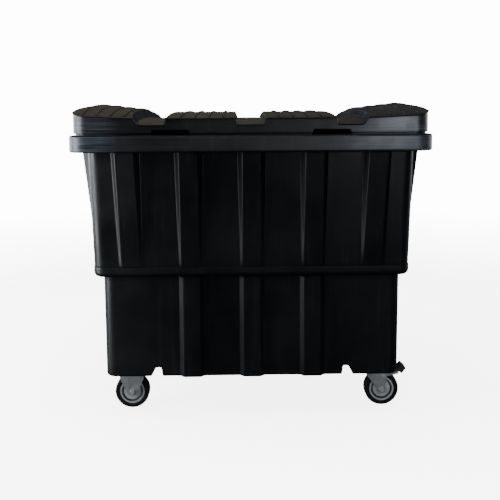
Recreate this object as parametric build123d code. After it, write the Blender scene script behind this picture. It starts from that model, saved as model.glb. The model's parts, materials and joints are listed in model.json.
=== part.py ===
"""Four-wheeled waste container of 1100 litres: a ribbed, stepped bin body with a rolled rim,
a saddle-topped lid on three rear hinges, two fixed castors at one end and two braked swivel
castors at the other.  Millimetres, +Z up, +X along the length towards the braked castors,
+Y towards the hinges.  The origin is on the floor under the centre of the bounding box."""

from build123d import *
import math
import os

# ---- Driving dimensions ------------------------------------------------------------------
WALL = 9.0                      # moulded body wall
RIM_HALF_X, RIM_HALF_Y = 740.0, 525.0
RIM_RADIUS = 80.0
RIM_TOP, RIM_BOTTOM = 1213.0, 1145.0
RIM_EDGE = 8.0                  # rounding of the rim's outer edges
UPPER_TOP = (673.0, 458.0)      # half sizes of the upper body under the rim
UPPER_LOW = (657.0, 442.0)      # and at the ledge
LOWER_TOP = (625.0, 410.0)      # half sizes of the lower body under the ledge
LOWER_LOW = (622.0, 407.0)      # and at its bottom
UPPER_RADIUS, LOWER_RADIUS = 50.0, 45.0
LEDGE_Z = 623.0
LEDGE_EDGE = 20.0
LEDGE_BAND, LEDGE_PROUD = 44.0, 4.0     # raised band round the foot of the upper body
BOTTOM_Z = 188.0                # underside of the body, where the castors are bolted
BOTTOM_EDGE = 10.0

RIB_FOOT, RIB_FACE = 57.0, 38.0         # half widths of an upper rib at wall and at face, at the top
RIB_FOOT_LOW, RIB_FACE_LOW = 48.0, 38.0  # and at the ledge
RIB_TOP_DEPTH, RIB_LOW_DEPTH = 45.0, 2.0
RIB_START_Z = LEDGE_Z + 26.0
RIB_EDGE = 6.0
RIB_ROOT = 14.0                 # a rib's foot is buried this deep in the wall so that the solids fuse
FRONT_RIBS_TOP = (-514.0, -257.0, 0.0, 257.0, 514.0)
FRONT_RIBS_LOW = (-499.0, -253.0, 0.0, 253.0, 499.0)
SIDE_RIBS = (-270.0, 0.0, 270.0)
LOWER_RIB_FOOT, LOWER_RIB_FACE, LOWER_RIB_DEPTH = 52.0, 35.0, 18.0
LOWER_FRONT_RIBS = (-253.0, 0.0, 253.0)
LOWER_SIDE_RIBS = (0.0,)

CHANNEL_INNER, CHANNEL_OUTER = 380.0, 428.0  # underside channels, distances from the middle
CHANNEL_HEIGHT, CHANNEL_INNER_SLOPE, CHANNEL_OUTER_SLOPE = 38.0, 6.0, 20.0
CHANNEL_ROUNDING = 6.0
BOSS_HALF_X, BOSS_HALF_Y, BOSS_TOP = 72.0, 64.0, 214.0   # solid bosses moulded over the castors
BOSS_CORNER, BOSS_EDGE = 12.0, 5.0

LID_SKIN = 7.0
LID_HALF_X, LID_HALF_Y, LID_RADIUS = 732.0, 517.0, 72.0
LID_EDGE_Z = 1277.0             # top of the lid along its front and rear edges
LID_GAP, LID_SEAT = 7.0, 10.0   # shadow gap over the rim: its height and how far the seat stands back
CENTRE_CREST = 29.0             # rise of the lid's middle over its edges
END_CREST = ((405.0, 31.0), (655.0, 59.5), (690.0, 61.5), (733.0, 54.5))   # distance from the middle, rise
END_VALLEY = (344.0, 349.0, 448.5, 467.0)   # inner top, inner floor, outer floor and outer top edges
CENTRE_VALLEY = (-59.0, -52.5, 52.5, 59.0)
VALLEY_DEPTH = 26.0
RIDGE_STARTS, RIDGE_PITCH, RIDGES = (112.0, 506.0), 56.0, 4      # ridges on the lid's blocks
RIDGE_HALF, RIDGE_HEIGHT, RIDGE_END = 5.5, 5.0, 15.0             # they stop short of the front and rear
GRIP_X, GRIP_HALF, GRIP_HEIGHT, GRIP_DEPTH, GRIP_TAPER = 324.0, 86.0, 20.0, 45.0, 14.0

HINGE_STATIONS = {"left": -560.0, "centre": 0.0, "right": 560.0}
HINGE_BACK, HINGE_UP = 58.0, 25.0       # pivot behind the rim's rear face and above its top
HINGE_Y, HINGE_Z = RIM_HALF_Y + HINGE_BACK, RIM_TOP + HINGE_UP
KNUCKLE_RADIUS, PIN_RADIUS, PIN_GAP = 17.0, 8.0, 0.06
LID_KNUCKLE_HALF, KNUCKLE_GAP, BODY_KNUCKLE = 35.0, 2.0, 35.0
HINGE_END = LID_KNUCKLE_HALF + KNUCKLE_GAP + BODY_KNUCKLE
SPLIT_PIN_X = HINGE_END + 8.5           # split pin from the middle of its hinge

WHEEL_RADIUS, TYRE_HALF = 75.0, 25.0
RIM_SEAT = 50.0
CASTOR_X, CASTOR_Y = 530.0, 250.0
TRAIL = 45.0                    # wheel axle behind the swivel axis
PLATE_X, PLATE_Y, PLATE_THICK = 135.0, 118.0, 4.0
BOLT_X, BOLT_Y, BOLT_RADIUS = 105.0, 94.0, 5.0
INSERT_RADIUS, INSERT_LENGTH = 8.5, 18.0
WASHER_RADIUS, WASHER_THICK = 9.5, 2.0
SCREW_FLATS, SCREW_HEAD = 16.0, 6.4
LEG_INNER, LEG_OUTER = 30.5, 34.0
SLEEVE_RADIUS, AXLE_RADIUS, AXLE_FLATS = 8.0, 6.0, 19.0
RACE_RADIUS, BALL_RADIUS, BALL_Z = 29.0, 3.5, 176.0
RACE_PLATE = 38.0               # radius of the two plates that hold the ball race
BALL_COUNT = 20
KINGPIN_RADIUS = 7.0

PEDAL_PIVOT = (8.0, 137.0)      # along X from the wheel's axle, and height
RIVET_RADIUS = 3.5
LEVER_INNER, LEVER_THICK = 27.2, 2.5
PAD_CORNER, PAD_ANGLE = (88.0, 143.5), 50.0     # lower corner of the pedal's tip and its slope
PAD_LONG, PAD_SHORT, PAD_HALF, PAD_EDGE = 32.0, 25.0, 29.0, 4.0
TONGUE_START, TONGUE_END, TONGUE_LOW, TONGUE_HIGH, TONGUE_HALF = -11.0, 25.0, 11.0, 14.0, 20.0

# The body stands off centre in the bounding box by half of what the hinges reach behind it.
HINGE_REACH = HINGE_BACK + KNUCKLE_RADIUS
TO_ORIGIN = Pos(0, -HINGE_REACH / 2, 0)
CORNERS = {
    "front_left": (-CASTOR_X, -CASTOR_Y),
    "rear_left": (-CASTOR_X, CASTOR_Y),
    "front_right": (CASTOR_X, -CASTOR_Y),
    "rear_right": (CASTOR_X, CASTOR_Y),
}


# ---- Small builders ----------------------------------------------------------------------
def block(x0, x1, y0, y1, z0, z1):
    """A box between two corners."""
    return Pos((x0 + x1) / 2, (y0 + y1) / 2, (z0 + z1) / 2) * Box(x1 - x0, y1 - y0, z1 - z0)


def rounded(half_x, half_y, radius, z):
    """A rounded rectangle lying at height z."""
    return Pos(0, 0, z) * RectangleRounded(2 * half_x, 2 * half_y, radius)


def tapered(low, high, radius, z0, z1):
    """A rounded box whose half sizes run from low at z0 to high at z1."""
    return loft([rounded(*low, radius, z0).face(), rounded(*high, radius, z1).face()])


def prism(points, axis, start, end):
    """A polygon drawn square to an axis and pulled along it from start to end."""
    if axis == "X":
        corners = [(start, a, b) for a, b in points]
    elif axis == "Y":
        corners = [(a, start, b) for a, b in points]
    else:
        corners = [(a, b, start) for a, b in points]
    direction = {"X": (1, 0, 0), "Y": (0, 1, 0), "Z": (0, 0, 1)}[axis]
    return extrude(make_face(Polyline(*corners, close=True)), amount=end - start, dir=direction)


def rod(radius, axis, centre, start, end):
    """A cylinder along an axis; centre gives its two other coordinates, in X, Y, Z order."""
    length, middle = end - start, (start + end) / 2
    if axis == "X":
        return Pos(middle, *centre) * Rot(0, 90, 0) * Cylinder(radius, length)
    if axis == "Y":
        return Pos(centre[0], middle, centre[1]) * Rot(90, 0, 0) * Cylinder(radius, length)
    return Pos(*centre, middle) * Cylinder(radius, length)


def hexagon(flats, axis, centre, start, end):
    """A hexagonal prism along Y or Z."""
    sketch = RegularPolygon(flats / math.sqrt(3), 6)
    if axis == "Y":
        return Pos(centre[0], start, centre[1]) * Rot(-90, 0, 0) * extrude(sketch, amount=end - start)
    return Pos(*centre, start) * extrude(sketch, amount=end - start)


# ---- Bin body ----------------------------------------------------------------------------
def rib(low_middle, high_middle, low, high, side, z0, z1, rounding):
    """One tapered rib on the front (side 0), right (1), rear (2) or left (3) wall.  low and high
    are (foot half width, face half width, root distance, face distance) at z0 and z1."""
    faces = []
    for middle, (foot, face, root, front), z in ((low_middle, low, z0), (high_middle, high, z1)):
        left = [(middle - foot, -root, z), (middle - face, -front, z)]
        right = [(middle + face, -front, z), (middle + foot, -root, z)]
        faces.append(make_face(Polyline(*left, *right, close=True)))
    shape = loft(faces)
    if rounding:
        upright = [edge for edge in shape.edges() if edge.bounding_box().size.Z > 100]
        shape = fillet(sorted(upright, key=lambda edge: edge.center().Y)[:2], rounding)
    return Rot(0, 0, 90 * side) * shape


def ribs(inset):
    """All ribs of the body; inset is 0 for the outer skin and the wall for the inner one."""
    made = []
    rounding = 0 if inset else RIB_EDGE
    root = RIB_ROOT + inset
    for side in range(4):
        across = side % 2 == 0
        wall = 1 if across else 0
        low_places = FRONT_RIBS_LOW if across else SIDE_RIBS
        high_places = FRONT_RIBS_TOP if across else SIDE_RIBS
        top_wall, low_wall = UPPER_TOP[wall], UPPER_LOW[wall]
        for low_middle, high_middle in zip(low_places, high_places):
            low_width = (RIB_FOOT_LOW - inset, RIB_FACE_LOW - inset)
            high_width = (RIB_FOOT - inset, RIB_FACE - inset)
            low = (*low_width, low_wall - root, low_wall + RIB_LOW_DEPTH - inset)
            high = (*high_width, top_wall - root, top_wall + RIB_TOP_DEPTH - inset)
            top = RIM_BOTTOM + WALL if inset else RIM_BOTTOM + 1
            made.append(rib(low_middle, high_middle, low, high, side, RIB_START_Z + inset, top, rounding))
        for middle in LOWER_FRONT_RIBS if across else LOWER_SIDE_RIBS:
            wall_low, wall_high = LOWER_LOW[wall], LOWER_TOP[wall]
            shape = (LOWER_RIB_FOOT - inset, LOWER_RIB_FACE - inset)
            low = (*shape, wall_low - root, wall_low + LOWER_RIB_DEPTH - inset)
            high = (*shape, wall_high - root, wall_high + LOWER_RIB_DEPTH - inset)
            top = LEDGE_Z + 4 - 2 * inset
            made.append(rib(middle, middle, low, high, side, BOTTOM_Z + inset, top, rounding))
    return made


def underside_channel(side, grow):
    """A channel across the underside, steep towards the middle and sloping towards the castors."""
    z0, z1 = BOTTOM_Z - 1, BOTTOM_Z + CHANNEL_HEIGHT + grow
    inner, outer = CHANNEL_INNER - grow, CHANNEL_OUTER + grow
    outline = [(inner, z0), (inner + CHANNEL_INNER_SLOPE, z1), (outer - CHANNEL_OUTER_SLOPE, z1), (outer, z0)]
    points = [(side * x, z) for x, z in outline]
    channel = prism(points, "Y", -LOWER_TOP[1] - 40, LOWER_TOP[1] + 40)
    top_edges = [edge for edge in channel.edges().filter_by(Axis.Y) if edge.center().Z > z1 - 1]
    return fillet(top_edges, CHANNEL_ROUNDING)


def hinge_outline(root_y, low_z, high_z):
    """Side outline of a knuckle: a tapering arm that ends in the round boss around the pin."""
    boss = rod(KNUCKLE_RADIUS, "X", (HINGE_Y, HINGE_Z), 0, 1)
    under_boss, over_boss = (HINGE_Y + 4, HINGE_Z - KNUCKLE_RADIUS + 1), (HINGE_Y, HINGE_Z + KNUCKLE_RADIUS)
    return boss + prism([(root_y, low_z), under_boss, over_boss, (root_y, high_z)], "X", 0, 1)


def knuckle(outline, start, end):
    """The outline, a slice 1 mm thick at x 0, stretched to run from start to end."""
    face = outline.faces().sort_by(Axis.X)[0]
    return Pos(start, 0, 0) * extrude(face, amount=end - start, dir=(1, 0, 0))


def body_knuckles():
    outline = hinge_outline(RIM_HALF_Y - 6, RIM_BOTTOM + 22, RIM_TOP - 6)
    made = []
    for x in HINGE_STATIONS.values():
        for side in (-1, 1):
            near = x + side * (LID_KNUCKLE_HALF + KNUCKLE_GAP)
            far = near + side * BODY_KNUCKLE
            made.append(knuckle(outline, min(near, far), max(near, far)))
    return made


def castor_boss(x, y):
    """Thickened floor over one castor, solid so that its inserts are blind."""
    boss = block(x - BOSS_HALF_X, x + BOSS_HALF_X, y - BOSS_HALF_Y, y + BOSS_HALF_Y, BOTTOM_Z, BOSS_TOP)
    boss = fillet(boss.edges().filter_by(Axis.Z), BOSS_CORNER)
    return fillet(boss.faces().sort_by(Axis.Z)[-1].edges(), BOSS_EDGE)


def bin_body():
    upper = tapered(UPPER_LOW, UPPER_TOP, UPPER_RADIUS, LEDGE_Z, RIM_BOTTOM + 2)
    upper = fillet(upper.faces().sort_by(Axis.Z)[0].edges(), LEDGE_EDGE)
    half_x, half_y = UPPER_LOW[0] + LEDGE_PROUD, UPPER_LOW[1] + LEDGE_PROUD
    band = extrude(rounded(half_x, half_y, UPPER_RADIUS + LEDGE_PROUD, LEDGE_Z), amount=LEDGE_BAND)
    band = fillet(band.faces().sort_by(Axis.Z)[0].edges(), LEDGE_EDGE)
    band = fillet(band.faces().sort_by(Axis.Z)[-1].edges(), LEDGE_PROUD - 0.5)
    lower = tapered(LOWER_LOW, LOWER_TOP, LOWER_RADIUS, BOTTOM_Z, LEDGE_Z + 30)
    lower = fillet(lower.faces().sort_by(Axis.Z)[0].edges(), BOTTOM_EDGE)
    rim = extrude(rounded(RIM_HALF_X, RIM_HALF_Y, RIM_RADIUS, RIM_BOTTOM), amount=RIM_TOP - RIM_BOTTOM)
    rim = fillet(rim.faces().sort_by(Axis.Z)[0].edges() + rim.faces().sort_by(Axis.Z)[-1].edges(), RIM_EDGE)
    outer = upper + band + lower + rim + ribs(0) + body_knuckles()

    low, high = [h - WALL for h in UPPER_LOW], [h - WALL for h in UPPER_TOP]
    inner = tapered(low, high, UPPER_RADIUS - WALL, LEDGE_Z + WALL, RIM_TOP + 1)
    low, high = [h - WALL for h in LOWER_LOW], [h - WALL for h in LOWER_TOP]
    inner += tapered(low, high, LOWER_RADIUS - WALL, BOTTOM_Z + WALL, LEDGE_Z + 30)
    rolled = rounded(RIM_HALF_X - WALL, RIM_HALF_Y - WALL, RIM_RADIUS - WALL, RIM_BOTTOM + WALL)
    inner += extrude(rolled, amount=RIM_TOP - RIM_BOTTOM - 2 * WALL)
    inner += ribs(WALL)
    for side in (-1, 1):
        outer -= underside_channel(side, 0)
        inner -= underside_channel(side, WALL)
    for x, y in CORNERS.values():
        inner -= castor_boss(x, y)
    body = outer - inner
    body -= rod(PIN_RADIUS + PIN_GAP, "X", (HINGE_Y, HINGE_Z), -RIM_HALF_X, RIM_HALF_X)
    for place in all_bolt_places():
        body -= rod(INSERT_RADIUS, "Z", place, BOTTOM_Z - 1, BOTTOM_Z + INSERT_LENGTH)
    return body


# ---- Lid ---------------------------------------------------------------------------------
def arch(x, rise, inset, floor=0.0):
    """Cross-section of the lid at x: straight sides and an elliptical top of the given rise."""
    edge_z, low_z, half = LID_EDGE_Z - inset - floor, RIM_TOP - 2, LID_HALF_Y
    top = EllipticalCenterArc((0, edge_z), half, rise, start_angle=0, arc_size=180)
    sides = Polyline((-half, edge_z), (-half, low_z), (half, low_z), (half, edge_z))
    return Pos(x, 0, 0) * (Plane.YZ * make_face(top + sides))


def crown(inset):
    """The arched form over the whole length: level in the middle, rising towards both ends and
    falling a little again at the very ends."""
    start = END_CREST[0][0]
    shape = extrude(arch(-start, CENTRE_CREST, inset), amount=2 * start)
    for side in (-1, 1):
        for (near, low), (far, high) in zip(END_CREST, END_CREST[1:]):
            shape += loft([arch(side * near, low, inset).face(), arch(side * far, high, inset).face()])
    return shape


def ridges(form):
    """Low ridges from front to rear, as high above the form everywhere."""
    strips = []
    end_y = LID_HALF_Y - RIDGE_END
    for start in RIDGE_STARTS:
        for i in range(RIDGES):
            x = start + i * RIDGE_PITCH
            for middle in (-x, x):
                left, right = middle - RIDGE_HALF, middle + RIDGE_HALF
                strips.append(block(left, right, -end_y, end_y, LID_EDGE_Z - 8, LID_EDGE_Z + 80))
    return [strip & Pos(0, 0, RIDGE_HEIGHT) * form for strip in strips]


def valley(edges, side, inset):
    """What one valley takes from the form: edges are its top, floor, floor and top edges along X."""
    low_z = LID_EDGE_Z - VALLEY_DEPTH - inset - 4
    high_z = LID_EDGE_Z + 80
    lines = ((edges[0] - inset, edges[1] - inset), (edges[3] + inset, edges[2] + inset))
    corners = []
    for top, floor_edge in lines:
        slope = (top - floor_edge) / VALLEY_DEPTH
        corners.append((floor_edge - slope * 4, low_z))
        corners.append((floor_edge + slope * (high_z - low_z - 4), high_z))
    outline = [corners[0], corners[1], corners[3], corners[2]]
    cutter = prism([(side * x, z) for x, z in outline], "Y", -LID_HALF_Y - 5, LID_HALF_Y + 5)
    middle = side * (edges[1] + edges[2]) / 2
    floor = extrude(arch(middle - 150, CENTRE_CREST - 2, inset, VALLEY_DEPTH), amount=300)
    return cutter - floor


def lid_form(inset):
    """The lid's outer form, or its inner one when inset is the skin thickness."""
    shape = crown(inset)
    if not inset:
        shape += ridges(shape)
    shape -= valley(CENTRE_VALLEY, 1, inset)
    for side in (-1, 1):
        shape -= valley(END_VALLEY, side, inset)
    low = RIM_TOP - 1 if inset else RIM_TOP + LID_GAP
    plan = extrude(rounded(LID_HALF_X - inset, LID_HALF_Y - inset, LID_RADIUS - inset, low), amount=200)
    if inset:
        seat = rounded(LID_HALF_X + 9, LID_HALF_Y + 9, LID_RADIUS + 9, low)
        frame_height = LID_GAP + 1 + inset
        back = LID_SEAT + inset
        bore = rounded(LID_HALF_X - back, LID_HALF_Y - back, LID_RADIUS - back, low)
        plan -= extrude(seat, amount=frame_height) - extrude(bore, amount=frame_height)
    else:
        back = LID_SEAT
        seat = rounded(LID_HALF_X - back, LID_HALF_Y - back, LID_RADIUS - back, RIM_TOP)
        plan += extrude(seat, amount=LID_GAP + 1)
    return shape & plan


def lid():
    shape = lid_form(0)
    outline = hinge_outline(LID_HALF_Y - 6, RIM_TOP + LID_GAP + 4, RIM_TOP + 34)
    for x in HINGE_STATIONS.values():
        shape += knuckle(outline, x - LID_KNUCKLE_HALF, x + LID_KNUCKLE_HALF)
    shape -= lid_form(LID_SKIN)
    shape -= rod(PIN_RADIUS + PIN_GAP, "X", (HINGE_Y, HINGE_Z), -RIM_HALF_X, RIM_HALF_X)
    low_z, high_z = RIM_TOP - 1, RIM_TOP + GRIP_HEIGHT
    for x in (-GRIP_X, GRIP_X):
        left, right = x - GRIP_HALF, x + GRIP_HALF
        grip = [(left, low_z), (left + GRIP_TAPER, high_z), (right - GRIP_TAPER, high_z), (right, low_z)]
        shape -= prism(grip, "Y", -LID_HALF_Y - 1, -LID_HALF_Y + GRIP_DEPTH)
    return shape


def hinge_pin(x):
    """A headed pin through one lid knuckle and its two body knuckles."""
    pin = rod(PIN_RADIUS, "X", (HINGE_Y, HINGE_Z), x - HINGE_END, x + SPLIT_PIN_X + 7)
    pin += rod(PIN_RADIUS + 5, "X", (HINGE_Y, HINGE_Z), x - HINGE_END - 5, x - HINGE_END)
    return pin - rod(2.1, "Z", (x + SPLIT_PIN_X, HINGE_Y), HINGE_Z - 20, HINGE_Z + 20)


def hinge_washers():
    made = []
    for x in HINGE_STATIONS.values():
        seat = x + HINGE_END
        washer = rod(PIN_RADIUS + 6, "X", (HINGE_Y, HINGE_Z), seat, seat + 2.5)
        made.append(washer - rod(PIN_RADIUS + 0.2, "X", (HINGE_Y, HINGE_Z), seat - 1, seat + 4))
    return Compound(children=made)


def split_pins():
    """Split pins through the pin ends: a round shank below an eye, with its legs bent apart."""
    made = []
    for x in HINGE_STATIONS.values():
        middle = x + SPLIT_PIN_X
        shank = rod(2.0, "Z", (middle, HINGE_Y), HINGE_Z - 13, HINGE_Z + 10)
        eye = Pos(middle, HINGE_Y, HINGE_Z + 13) * Rot(90, 0, 0) * Torus(3.6, 1.6)
        legs = rod(1.4, "Y", (middle, HINGE_Z - 12), HINGE_Y - 7, HINGE_Y + 7)
        made.append(shank + eye + legs)
    return Compound(children=made)


# ---- Castor mounting ---------------------------------------------------------------------
def bolt_places():
    return [(sx * BOLT_X / 2, sy * BOLT_Y / 2) for sx in (-1, 1) for sy in (-1, 1)]


def all_bolt_places():
    return [(x + bolt_x, y + bolt_y) for x, y in CORNERS.values() for bolt_x, bolt_y in bolt_places()]


def thread_inserts():
    """Blind steel inserts moulded into the bosses over the castors."""
    made = []
    for place in all_bolt_places():
        insert = rod(INSERT_RADIUS, "Z", place, BOTTOM_Z, BOTTOM_Z + INSERT_LENGTH)
        made.append(insert - rod(BOLT_RADIUS + 0.02, "Z", place, BOTTOM_Z - 1, BOTTOM_Z + INSERT_LENGTH - 2))
    return Compound(children=made)


def mounting_screws():
    """Hexagon screws from below, through the castor plates into the inserts."""
    made = []
    seat = BOTTOM_Z - PLATE_THICK - WASHER_THICK
    for place in all_bolt_places():
        shank = rod(BOLT_RADIUS, "Z", place, seat - 3, BOTTOM_Z + INSERT_LENGTH - 3)
        made.append(shank + hexagon(SCREW_FLATS, "Z", place, seat - SCREW_HEAD, seat))
    return Compound(children=made)


def mounting_washers():
    made = []
    top = BOTTOM_Z - PLATE_THICK
    for place in all_bolt_places():
        washer = rod(WASHER_RADIUS, "Z", place, top - WASHER_THICK, top)
        made.append(washer - rod(BOLT_RADIUS + 0.3, "Z", place, top - 3, top + 1))
    return Compound(children=made)


# ---- Wheels: all are turned about Y with the wheel's centre at the origin ----------------
def turned(points):
    """A polygon of (radius, y) points turned round Y."""
    return revolve(make_face(Polyline(*[(r, y) for r, y in points], close=True)), axis=Axis.Y)


def tyre():
    half, shoulder = TYRE_HALF, 6.0
    front = [(RIM_SEAT, -21), (54, -21), (54, -23), (58, -half), (WHEEL_RADIUS - shoulder, -half),
             (WHEEL_RADIUS - 1.6, -half + 2.2), (WHEEL_RADIUS, -half + shoulder)]
    back = [(r, -y) for r, y in reversed(front)]
    return turned(front + back)


def rim_half(side):
    """One pressed disc of the wheel: seat, rolled flange, groove and raised centre dish."""
    seat = [(RIM_SEAT, 0), (RIM_SEAT, 21), (54, 21), (54, 23), (46.5, 23), (45, 21.5)]
    front = [(44, 7), (40, 7), (38, 21), (15, 21)]
    back = [(15, 19), (36.3, 19), (38.4, 5), (45.8, 5), (46.9, 20.5), (48, 20.5), (48, 0)]
    return turned([(r, side * y) for r, y in seat + front + back])


def hub_bush():
    return rod(14.97, "Y", (0, 0), -28, 28) - rod(SLEEVE_RADIUS + PIN_GAP, "Y", (0, 0), -30, 30)


def axle_sleeve():
    sleeve = rod(SLEEVE_RADIUS, "Y", (0, 0), -LEG_INNER, LEG_INNER)
    return sleeve - rod(AXLE_RADIUS + PIN_GAP, "Y", (0, 0), -40, 40)


def axle_bolt():
    """Hexagon bolt through both fork legs, its head towards the front."""
    bolt = rod(AXLE_RADIUS, "Y", (0, 0), -LEG_OUTER, LEG_OUTER + 12)
    return bolt + hexagon(AXLE_FLATS, "Y", (0, 0), -LEG_OUTER - 7, -LEG_OUTER)


def axle_nut():
    nut = hexagon(AXLE_FLATS, "Y", (0, 0), LEG_OUTER, LEG_OUTER + 10)
    return nut - rod(AXLE_RADIUS + 0.02, "Y", (0, 0), LEG_OUTER - 1, LEG_OUTER + 11)


WHEEL_PARTS = {
    "rim_outer": lambda: rim_half(-1),
    "rim_inner": lambda: rim_half(1),
    "tyre": tyre,
    "hub_bush": hub_bush,
    "axle_sleeve": axle_sleeve,
    "axle_bolt": axle_bolt,
    "axle_nut": axle_nut,
}


# ---- Forks: the wheel's centre is at x 0, y 0, z WHEEL_RADIUS ----------------------------
def legs(outline):
    """Two fork legs from one outline of (x, z) points, rounded under the axle."""
    made = []
    for start, end in ((-LEG_OUTER, -LEG_INNER), (LEG_INNER, LEG_OUTER)):
        leg = prism(outline, "Y", start, end)
        leg += rod(18, "Y", (0, WHEEL_RADIUS), start, end)
        made.append(leg - rod(AXLE_RADIUS + 0.02, "Y", (0, WHEEL_RADIUS), start - 1, end + 1))
    return made


def top_plate(x, y):
    half_x, half_y = PLATE_X / 2, PLATE_Y / 2
    plate = block(x - half_x, x + half_x, y - half_y, y + half_y, BOTTOM_Z - PLATE_THICK, BOTTOM_Z)
    plate = fillet(plate.edges().filter_by(Axis.Z), 10)
    for bolt_x, bolt_y in bolt_places():
        plate -= rod(BOLT_RADIUS + 0.4, "Z", (x + bolt_x, y + bolt_y), BOTTOM_Z - 10, BOTTOM_Z + 1)
    return plate


def fixed_fork():
    top = BOTTOM_Z - PLATE_THICK + 1
    outline = [(-56, top), (-52, 135), (-31, 90), (-16, 67), (16, 67), (31, 90), (52, 135), (56, top)]
    fork = top_plate(0, 0)
    for leg in legs(outline):
        fork += leg
    return fork


def swivel_fork():
    """Fork whose swivel axis is at x -TRAIL: crown with the lower race, and two raked legs."""
    crown_low, crown_high = 164.0, 168.0
    outline = [(-80, crown_high), (-64, 134), (-33, 95), (-15, 67)]
    outline += [(15, 67), (16, 95), (20, 134), (24, crown_high)]
    crown = block(-80, 24, -LEG_OUTER, LEG_OUTER, crown_low, crown_high)
    crown += rod(RACE_PLATE, "Z", (-TRAIL, 0), crown_high, BALL_Z - 1)
    for leg in legs(outline):
        crown += leg
    crown -= rod(KINGPIN_RADIUS + PIN_GAP, "Z", (-TRAIL, 0), crown_low - 1, BALL_Z)
    crown -= Pos(-TRAIL, 0, BALL_Z) * Torus(RACE_RADIUS, BALL_RADIUS + 0.1)
    return crown - rod(RIVET_RADIUS + 0.02, "Y", PEDAL_PIVOT, -LEG_OUTER - 1, LEG_OUTER + 1)


def swivel_plate():
    """Top plate with the upper race; the swivel axis is at x -TRAIL."""
    plate = top_plate(-TRAIL, 0)
    plate += rod(RACE_PLATE, "Z", (-TRAIL, 0), BALL_Z + 1, BOTTOM_Z - 1)
    plate -= rod(KINGPIN_RADIUS, "Z", (-TRAIL, 0), BALL_Z, BOTTOM_Z + 1)
    plate -= Pos(-TRAIL, 0, BOTTOM_Z - 2) * Cone(KINGPIN_RADIUS, KINGPIN_RADIUS + 4, 4)
    return plate - Pos(-TRAIL, 0, BALL_Z) * Torus(RACE_RADIUS, BALL_RADIUS + 0.1)


def swivel_balls():
    made = []
    for i in range(BALL_COUNT):
        turn = 2 * math.pi * i / BALL_COUNT
        x, y = RACE_RADIUS * math.cos(turn), RACE_RADIUS * math.sin(turn)
        made.append(Pos(x - TRAIL, y, BALL_Z) * Sphere(BALL_RADIUS))
    return Compound(children=made)


def kingpin():
    """Rivet that ties the crown to the top plate, flush above and headed below."""
    pin = rod(KINGPIN_RADIUS, "Z", (-TRAIL, 0), 158, BOTTOM_Z)
    pin += Pos(-TRAIL, 0, BOTTOM_Z - 2) * Cone(KINGPIN_RADIUS, KINGPIN_RADIUS + 4, 4)
    return pin + rod(12, "Z", (-TRAIL, 0), 158, 163.7)


# ---- Brake: a U-shaped lever between the legs and the tyre -------------------------------
def along_pad(along, across):
    """A point of the pedal's tip: along runs up its slope from the lower corner, across runs inwards."""
    turn = math.radians(PAD_ANGLE)
    x = PAD_CORNER[0] + along * math.cos(turn) - across * math.sin(turn)
    z = PAD_CORNER[1] + along * math.sin(turn) + across * math.cos(turn)
    return x, z


def tongue(extra):
    """The flat steel tongue that carries the pad, drawn extra thicker and longer for the pad's slot."""
    end, low, high = TONGUE_END + extra, TONGUE_LOW - extra, TONGUE_HIGH + extra
    corners = [(TONGUE_START, low), (end, low), (end, high), (TONGUE_START, high)]
    half = TONGUE_HALF + extra
    return prism([along_pad(a, b) for a, b in corners], "Y", -half, half)


def brake_pedal():
    """Two side plates, the shoe bar that grips the tread, and the tongue for the pad."""
    foot = along_pad(-7, 15.5)
    heel = along_pad(-7, 9.5)
    reach = LEVER_INNER + 1
    outline = [(0, 146), (16, 148), (58, 152), foot, heel, (58, 139.5), (44, 136.5), (18, 129), (0, 129)]
    lever = prism([(50, 137), (59, 139.5), (59, 143.5), (50, 141)], "Y", -reach, reach)
    lever += prism([(58, 139.5), heel, (heel[0] - 0.8, heel[1] + 2.4), (57.3, 142)], "Y", -reach, reach)
    lever += tongue(0)
    for start in (-LEVER_INNER - LEVER_THICK, LEVER_INNER):
        lever += prism(outline, "Y", start, start + LEVER_THICK)
    return lever - rod(RIVET_RADIUS + PIN_GAP, "Y", PEDAL_PIVOT, -LEG_INNER, LEG_INNER)


def pedal_pad():
    corners = [along_pad(a, b) for a, b in ((0, 0), (PAD_LONG, 0), (PAD_LONG, PAD_SHORT), (0, PAD_SHORT))]
    pad = prism(corners, "Y", -PAD_HALF, PAD_HALF)
    pad = fillet(pad.edges().filter_by(Axis.Y), PAD_EDGE)
    return pad - tongue(0.05)


def pedal_rivets():
    """One rivet through each side plate and fork leg, headed outside and closed inside."""
    head, tail = LEG_OUTER + 2, LEVER_INNER - 1.6
    rivet = rod(RIVET_RADIUS, "Y", PEDAL_PIVOT, tail, head)
    rivet += rod(RIVET_RADIUS + 3, "Y", PEDAL_PIVOT, LEG_OUTER, head)
    rivet += rod(RIVET_RADIUS + 1.5, "Y", PEDAL_PIVOT, tail, LEVER_INNER - 0.1)
    return Compound(children=[rivet, mirror(rivet, about=Plane.XZ)])


def brake_spring():
    """Leaf spring under the crown whose free end rests over the lever's shoe bar."""
    under = [(-10, 162.5), (28, 162.5), (48, 145), (58, 143.9)]
    over = [(58.4, 145.4), (48.6, 146.6), (28.6, 164), (-10, 164)]
    return prism(under + over, "Y", -12, 12)


FIXED_PARTS = {"fork": fixed_fork}
SWIVEL_PARTS = {
    "fork": swivel_fork,
    "top_plate": swivel_plate,
    "swivel_balls": swivel_balls,
    "kingpin": kingpin,
    "brake_pedal": brake_pedal,
    "pedal_pad": pedal_pad,
    "pedal_rivets": pedal_rivets,
    "brake_spring": brake_spring,
}


# ---- Output ------------------------------------------------------------------------------
def write(name, shape):
    export_step(TO_ORIGIN * shape, f"parts/{name}.step")


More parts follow.
